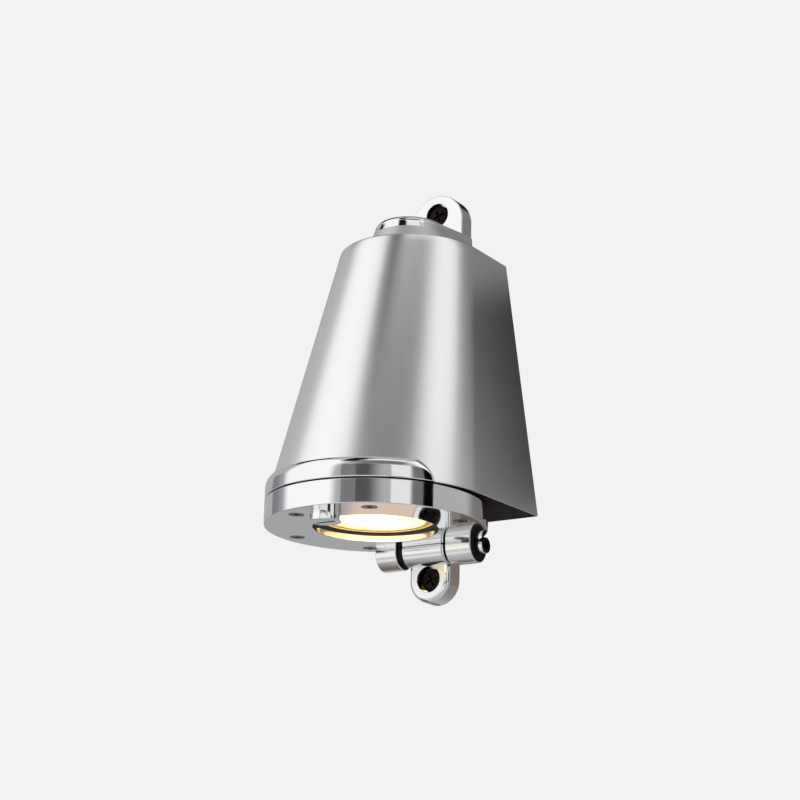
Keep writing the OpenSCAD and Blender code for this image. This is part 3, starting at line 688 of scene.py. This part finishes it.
# Cap: a round-fronted boss with a soft, polished shoulder and a tilted top, and the upper lug
def make_cap():
    soft, draft, tilt, back = 2.8, 5.0, 2.3, -0.3
    side_rows, edge_rows = 12, 14
    shine_from, shine_turn = ROOF_Z + CAP_H - soft - 3.2, 55

    def row(rise, inset):
        outline = d_outline(BOSS_R - inset, BOSS_C, BOSS_W - inset / 4, 96, 6, back)
        return outline, ROOF_Z + rise

    rows = [row((CAP_H - soft) * i / side_rows, draft * i / side_rows)
            for i in range(side_rows + 1)]
    for i in range(1, edge_rows + 1):
        a = math.radians(90 * i / edge_rows)
        rows.append(row(CAP_H - soft + soft * math.sin(a), draft + soft * (1 - math.cos(a))))
    boss = loft("cap_boss", rows, polished)
    boss.data.materials.append(cap_metal)
    for p in boss.data.polygons:
        turn = math.degrees(math.atan2(p.normal.x, -p.normal.y))
        if p.center.z < shine_from * MM or abs(turn) > shine_turn:
            p.material_index = 1
    for v in boss.data.vertices:
        height = (v.co.z / MM - ROOF_Z) / CAP_H
        behind = (v.co.y / MM + BOSS_C) / (BOSS_C - ULUG_T)
        v.co.z += tilt * MM * height * min(1.0, max(0.0, behind))
    lug_r = ULUG_W / 2
    low, mid_z = ROOF_Z + 0.2, FIX_Z - (lug_r - ULUG_ABOVE)
    outline = [(-lug_r, low), (lug_r, low)] + arc(0, mid_z, lug_r, 0, 180, 48)
    lug = prism("lug", outline, -ULUG_T, 0, polished)
    bevel_front(lug, -ULUG_T, 0.5)
    cut(lug, bore_tool(FIX_Z, ULUG_T, ULUG_BORE))
    make_one("top_cap_polished", [boss, lug])
    weigh(shade(boss, 28))
    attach(boss, "housing")
    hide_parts("top_cap")


# Lower lug, stem and middle knuckle in one casting, and the satin panel of the back plate
def make_back():
    lug_r = LUG_W / 2
    outline = [(lug_r, HINGE_Z), (-lug_r, HINGE_Z)] + arc(0, -FIX_Z, lug_r, 180, 360, 48)
    lug = prism("lug", outline, -LUG_T, 0, polished)
    bevel_front(lug, -LUG_T, 2.5)
    cut(lug, bore_tool(-FIX_Z, LUG_T, LUG_BORE))
    shade(lug, 28)
    stem_above = 1.3
    stem_top = BODY_Z + FLOOR_T + stem_above
    stem = block("stem", (-STEM_W / 2, -STEM_T, HINGE_Z), (STEM_W / 2, 0, stem_top), polished)
    bevel(stem, 0.5, 3)
    knuckle = make_knuckle(MID_R, -MID_X, MID_X)
    second_finish(lug, turned, False)
    for p in lug.data.polygons:
        if p.normal.y < -FACE_ON:
            p.material_index = 1
    make_one("lower_lug_casting", [lug, stem, knuckle])
    weigh(shade(lug, 28))
    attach(lug, "housing")
    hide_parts("back_plate")
    low_z, high_z = BODY_Z + FLOOR_T + GAP, ROOF_Z - ROOF_T - GAP
    low_x = part_way(BASE_W, TOP_W, FLOOR_T) / 2 - WALL_T - GAP
    high_x = part_way(BASE_W, TOP_W, BODY_H - ROOF_T) / 2 - WALL_T - GAP
    outline = [(-low_x, low_z), (low_x, low_z), (high_x, high_z), (-high_x, high_z)]
    plate = prism("back_panel", outline, -PLATE_T, 0, satin)
    bevel(plate, 0.4, 3)
    entry = (0, 0, ENTRY_Z)
    tools = [rod("hole", GROMMET_R, -PAST, PLATE_T + PAST, satin, entry, "Y", 64)]
    profile = sink_profile(2.2, PLATE_T)
    for at in plate_screw_places():
        tools.append(lathe("sink", profile, satin, at, "Y", 48, closed=False))
    cut(plate, *tools)
    weigh(shade(plate, 30))
    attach(plate, "housing")
    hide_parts("back_plate")


# Dark cross-headed wall screw in each lug
def make_wall_screw(name, z, seat):
    shank, head, skirt, corner, crown = 2.5, 5.9, 1.3, 1.5, 3.1
    half, thick, deep = 3.1, 0.62, 1.6
    profile = [(0, 0.0), (shank, 0.0), (shank, seat), (head, seat), (head, seat + skirt)]
    profile += arc(head - corner, seat + skirt, corner, 0, 70, 6)[1:]
    profile += [(2.0, seat + crown - 0.1), (0, seat + crown)]
    screw = lathe(name, profile, dark_screw, (0, 0, z), "Y", 64, closed=False)
    corners = [(-half, -thick), (half, -thick), (half, thick), (-half, thick)]
    front, arms = -seat - crown - 0.1, []
    for turn in (20, 110):
        cos, sin = math.cos(math.radians(turn)), math.sin(math.radians(turn))
        outline = [(x * cos - y * sin, z + x * sin + y * cos) for x, y in corners]
        arms.append(prism("arm", outline, front - PAST, front + 0.1 + deep, dark_screw))
    cut(screw, *arms)
    shade(screw, 30)
    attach(screw, "housing")


# Lid with softened edges, the lens seat, screw sinks, a falling top and the outer knuckles
def make_lid():
    lip, rim_flat, foot, top_edge, seat_gap = 0.2, 1.4, 0.35, 0.4, 0.2
    side_gap, knuckle_gap, pin_gap, left_short, near_by = 0.2, 0.4, 0.6, 1.6, 0.1
    wide, deep, tall = 60, 40, 20
    top, seat = LID_Z + LID_T, CLAMP_Z - LID_Z
    profile = [(LENS_R, lip), (LENS_R + lip, 0.0), (LID_R - rim_flat, 0.0)]
    profile += arc(LID_R - foot, foot, foot, -90, 0, 5)
    profile += arc(LID_R - top_edge, LID_T - top_edge, top_edge, 0, 90, 4)
    profile += [(CLAMP_R + seat_gap, LID_T), (CLAMP_R + seat_gap, seat),
                (GLASS_R + seat_gap, seat), (GLASS_R + seat_gap, LENS_LIP), (LENS_R, LENS_LIP)]
    lid = lathe("lid", profile, polished, (0, -LID_C, LID_Z), "Z", 256)
    left, right = -MID_X - SPACER_T - side_gap, MID_X + WASHER_T + side_gap
    hinge, lock = (0, HINGE_Y, HINGE_Z), (0, LOCK_Y, 0)
    tools = [
        block("flat", (-wide, -LID_FLAT, LID_Z - tall), (wide, deep, LID_Z + tall), polished),
        rod("knuckle_room", MID_R + knuckle_gap, left, right, polished, hinge, "X", 96),
        rod("pin_room", PIN_HEAD_R + pin_gap, KNUCKLE_END, LID_R, polished, hinge, "X", 64),
        rod("shank_hole", SHANK_HOLE_R, LID_Z - PAST, top + PAST, polished, lock, "Z", 48),
        rod("collar_pocket", COLLAR_POCKET_R, top - COLLAR_POCKET_H, top + PAST, polished, lock,
            "Z", 48),
    ]
    profile = sink_profile(2.3, LID_T)
    for a in CLAMP_SCREW_TURNS:
        x, y = CLAMP_SCREW_C * math.sin(math.radians(a)), CLAMP_SCREW_C * math.cos(math.radians(a))
        at = (x, -LID_C - y, LID_Z)
        tools.append(lathe("sink", profile, polished, at, "Z", 48, closed=False))
    cut(lid, *tools)
    fall, fall_from, fall_size = math.radians(-1.7), Vector((0, -97, top)) * MM, (wide, 110, 6)
    relief = block("relief", (-wide, 0, 0), fall_size, polished)
    relief.matrix_world = Matrix.Translation(fall_from) @ Matrix.Rotation(fall, 4, "X")
    cut(lid, relief)
    second_finish(lid, turned, False)
    # Painted shade: the faces round the pin head's recess at the lid's end get the near-black
    # matte
    lid.data.materials.append(painted_shade_dark)
    for p in lid.data.polygons:
        near = math.hypot(p.center.y / MM - HINGE_Y, p.center.z / MM - HINGE_Z)
        if p.center.x > (KNUCKLE_END - near_by) * MM and near < PIN_HEAD_R + pin_gap + near_by:
            p.material_index = 2
    pieces = [lid]
    for x0, x1 in ((-KNUCKLE_END + left_short, left), (right + GAP, KNUCKLE_END)):
        knuckle = make_knuckle(KNUCKLE_R, x0, x1)
        # Painted shade: the knuckles' flat end faces get the near-black matte
        for p in knuckle.data.polygons:
            if abs(p.normal.x) > FACE_ON:
                p.material_index = 2
        pieces.append(knuckle)
    make_one("lid_polished", pieces)
    weigh(shade(lid, 28))
    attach(lid, "lid")
    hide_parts("lid_ring")


# Knob with softened edges, a screwdriver slot and its shank
def make_knob():
    soft, tip, lid_gap, slot_x, slot_y, slot_z = 0.4, 0.5, 0.02, 5, 0.8, 1.6
    top = LID_Z - lid_gap
    low, shank_top = top - KNOB_H, BODY_Z + SHANK_TOP
    profile = [(0, low), (KNOB_R - soft, low)] + arc(KNOB_R - soft, low + soft, soft, -90, 0, 5)
    profile += [(KNOB_R, top), (SHANK_R, top), (SHANK_R, shank_top - tip),
                (SHANK_R - tip, shank_top), (0, shank_top)]
    lock = (0, LOCK_Y, 0)
    knob = lathe("lock_knob_polished", profile, polished, lock, "Z", 96, closed=False)
    cut(knob, block("slot", (-slot_x, LOCK_Y - slot_y, low - PAST),
                    (slot_x, LOCK_Y + slot_y, low + slot_z), polished))
    weigh(shade(knob, 28))
    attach(knob, "lock_knob")
    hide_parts("lock_screw")


make_housing()
make_band()
make_cap()
make_back()
make_lid()
make_knob()
make_wall_screw("upper_wall_screw", FIX_Z, ULUG_T - ULUG_BORE)
make_wall_screw("lower_wall_screw", -FIX_Z, LUG_T - LUG_BORE)


# Studio panel that fades out toward its edges: a light when it has a radiance, else a card
def panel(name, az, el, away, wide, high, soft, tone, radiance=0.0):
    s = Shader(name).set(Roughness=1.0, Specular_IOR_Level=0.0)
    split = s.node("ShaderNodeSeparateXYZ")
    s.link(s.place(), split.inputs["Vector"])
    w, h = wide / 2, high / 2
    left, right, ends = soft
    fade = None
    for axis, a, b, rising in (("X", -w, -w + left, True), ("X", w - right, w, False),
                               ("Y", -h, -h + ends, True), ("Y", h - ends, h, False)):
        low, top = (0.0, 1.0) if rising else (1.0, 0.0)
        part = s.span(split.outputs[axis], low, top, a, b, "SMOOTHSTEP")
        fade = part if fade is None else s.combine("MULTIPLY", fade, part)
    s.colour(s.ramp(s.noise(6.0), [(0.3, darker(tone, 0.9)), (0.7, tone)]))
    solid = s.bsdf.outputs["BSDF"]
    if radiance:
        shine = s.node("ShaderNodeEmission")
        shine.inputs["Color"].default_value = (*tone, 1)
        shine.inputs["Strength"].default_value = radiance
        solid = shine.outputs["Emission"]
    clear = s.node("ShaderNodeBsdfTransparent")
    mix = s.node("ShaderNodeMixShader")
    s.link(fade, mix.inputs["Fac"])
    s.link(clear.outputs["BSDF"], mix.inputs[1])
    s.link(solid, mix.inputs[2])
    s.link(mix.outputs["Shader"], s.tree.nodes["Material Output"].inputs["Surface"])
    mesh = bpy.data.meshes.new(name)
    mesh.from_pydata([(-w, -h, 0), (w, -h, 0), (w, h, 0), (-w, h, 0)], [], [(0, 1, 2, 3)])
    mesh.materials.append(s.mat)
    obj = bpy.data.objects.new(name, mesh)
    back = toward(az, el)
    side = Vector((0, 0, 1)).cross(back).normalized()
    obj.matrix_world = axes_at(side, back.cross(side), back, CENTRE + back * away)
    scene.collection.objects.link(obj)
    obj.visible_camera = False
    obj.visible_diffuse = bool(radiance)
    obj.visible_shadow = False


# Pale floor, brighter to the camera than to the metal
def make_floor():
    s = Shader("floor_pale").set(Roughness=0.9, Emission_Color=(0.40, 0.40, 0.40, 1))
    s.colour(s.ramp(s.noise(3.0), [(0.3, (0.80, 0.80, 0.80)), (0.7, (0.83, 0.83, 0.83))]))
    path = s.node("ShaderNodeLightPath")
    s.link(path.outputs["Is Camera Ray"], s.bsdf.inputs["Emission Strength"])
    s.mat.cycles.emission_sampling = "NONE"
    mesh = bpy.data.meshes.new("floor")
    turns = [2 * math.pi * i / FLOOR_SIDES for i in range(FLOOR_SIDES)]
    ring = [(FLOOR_R * math.cos(t), FLOOR_R * math.sin(t), FLOOR_Z) for t in turns]
    mesh.from_pydata(ring, [], [tuple(range(FLOOR_SIDES))])
    mesh.materials.append(s.mat)
    floor = bpy.data.objects.new("floor", mesh)
    scene.collection.objects.link(floor)


# Room light, with a pale background that only the camera sees
def make_world():
    world = bpy.data.worlds.new("studio")
    world.use_nodes = True
    tree = world.node_tree
    tree.nodes.clear()
    out = tree.nodes.new("ShaderNodeOutputWorld")
    seen = tree.nodes.new("ShaderNodeBackground")
    seen.inputs["Color"].default_value = (0.888, 0.888, 0.888, 1)
    room = tree.nodes.new("ShaderNodeBackground")
    room.inputs["Color"].default_value = (0.46, 0.465, 0.47, 1)
    path = tree.nodes.new("ShaderNodeLightPath")
    mix = tree.nodes.new("ShaderNodeMixShader")
    tree.links.new(path.outputs["Is Camera Ray"], mix.inputs["Fac"])
    tree.links.new(room.outputs["Background"], mix.inputs[1])
    tree.links.new(seen.outputs["Background"], mix.inputs[2])
    tree.links.new(mix.outputs["Shader"], out.inputs["Surface"])
    scene.world = world


# Name, azimuth, elevation, distance, width, height, fades (left, right, ends), tone, radiance
PANELS = (
    ("key_panel", -42, 20, 1.5, 2.15, 2.85, (0.45, 0.36, 0.12), (0.985, 0.995, 1.0), 1.09),
    ("rim_panel", 94, 43, 1.5, 1.20, 1.1, (0.52, 0.10, 0.20), (1, 1, 1), 1.08),
    ("top_panel", 48, 62, 1.3, 0.8, 0.36, (0.10, 0.10, 0.08), (1, 1, 1), 0.95),
    ("top_flag", -3, 62, 1.1, 0.35, 0.7, (0.06, 0.06, 0.06), (0.02, 0.02, 0.022)),
    ("rim_flag", -112, 55, 0.9, 0.62, 0.50, (0.08, 0.08, 0.08), (0.01, 0.01, 0.012)),
    ("strip_panel", 57.5, 9, 1.0, 0.37, 0.52, (0.02, 0.03, 0.06), (1, 0.995, 0.98), 0.88),
    ("high_flag", 34, 40, 1.25, 1.35, 0.75, (0.45, 0.20, 0.10), (0.36, 0.36, 0.365)),
    ("front_flag", 5, 8, 1.2, 0.34, 0.75, (0.03, 0.03, 0.08), (0.42, 0.42, 0.43)),
    ("front_flag_2", 27, 8, 1.15, 0.62, 0.75, (0.03, 0.40, 0.08), (0.17, 0.17, 0.175)),
    ("edge_flag", 86, 6, 1.0, 0.21, 0.62, (0.02, 0.015, 0.05), (0.003, 0.003, 0.003)),
    ("edge_flag_2", 75, 6, 1.05, 0.25, 0.62, (0.03, 0.03, 0.05), (0.30, 0.30, 0.30)),
    ("left_flag", -82.3, 2, 1.0, 0.56, 0.62, (0.03, 0.42, 0.10), (0.46, 0.47, 0.50)),
    ("side_flag", 165, 46, 1.1, 1.5, 0.9, (0.12, 0.10, 0.10), (0.32, 0.32, 0.32)),
    ("back_flag", 174, 18, 0.9, 1.5, 1.0, (0.40, 0.35, 0.10), (0.36, 0.35, 0.34)),
    ("far_flag", 205, 26, 0.85, 0.9, 1.3, (0.15, 0.25, 0.10), (0.03, 0.03, 0.03)),
    ("near_flag", 147.5, 13.5, 0.1885, 0.107, 0.15, (0.052, 0.006, 0.025), (0.014, 0.013, 0.013)),
    ("hinge_flag", -155.5, -24.1, 0.43, 0.064, 0.10, (0.03, 0.006, 0.02), (0.22, 0.18, 0.16)),
    ("lug_flag", 166, -33, 0.5, 0.62, 0.52, (0.10, 0.40, 0.12), (0.44, 0.37, 0.32)),
    ("lug_flag_2", 154.8, -31.6, 0.149, 0.08, 0.07, (0.012, 0.02, 0.006), (0.48, 0.39, 0.34)),
    ("knob_panel", 16, -21, 1.0, 1.02, 0.36, (0.10, 0.02, 0.05), (1, 1, 1), 0.95),
    ("knob_card", 15.7, -38.8, 0.1237, 0.072, 0.028, (0.006, 0.006, 0.002), (1, 1, 1), 0.95),
    ("knob_flag", 53, -21, 0.95, 0.28, 0.36, (0.02, 0.02, 0.05), (0.02, 0.02, 0.02)),
    ("knob_strip", 79, -21, 1.0, 0.40, 0.36, (0.02, 0.02, 0.05), (1, 1, 1), 0.95),
    ("knob_flag_2", 98, -21, 0.95, 0.17, 0.36, (0.02, 0.02, 0.05), (0.02, 0.02, 0.02)),
    ("low_panel", -46, -44, 0.6, 0.25, 0.22, (0.08, 0.08, 0.07), (1, 0.98, 0.95), 0.95),
    ("low_flag", -108, -50, 0.6, 0.80, 0.34, (0.15, 0.10, 0.08), (0.30, 0.24, 0.20)),
    ("warm_panel", -147.4, -25.3, 0.4685, 0.07, 0.056, (0.015, 0.015, 0.008), (1, 0.76, 0.60),
     0.78),
)

make_world()
make_floor()
for row in PANELS:
    panel(*row)
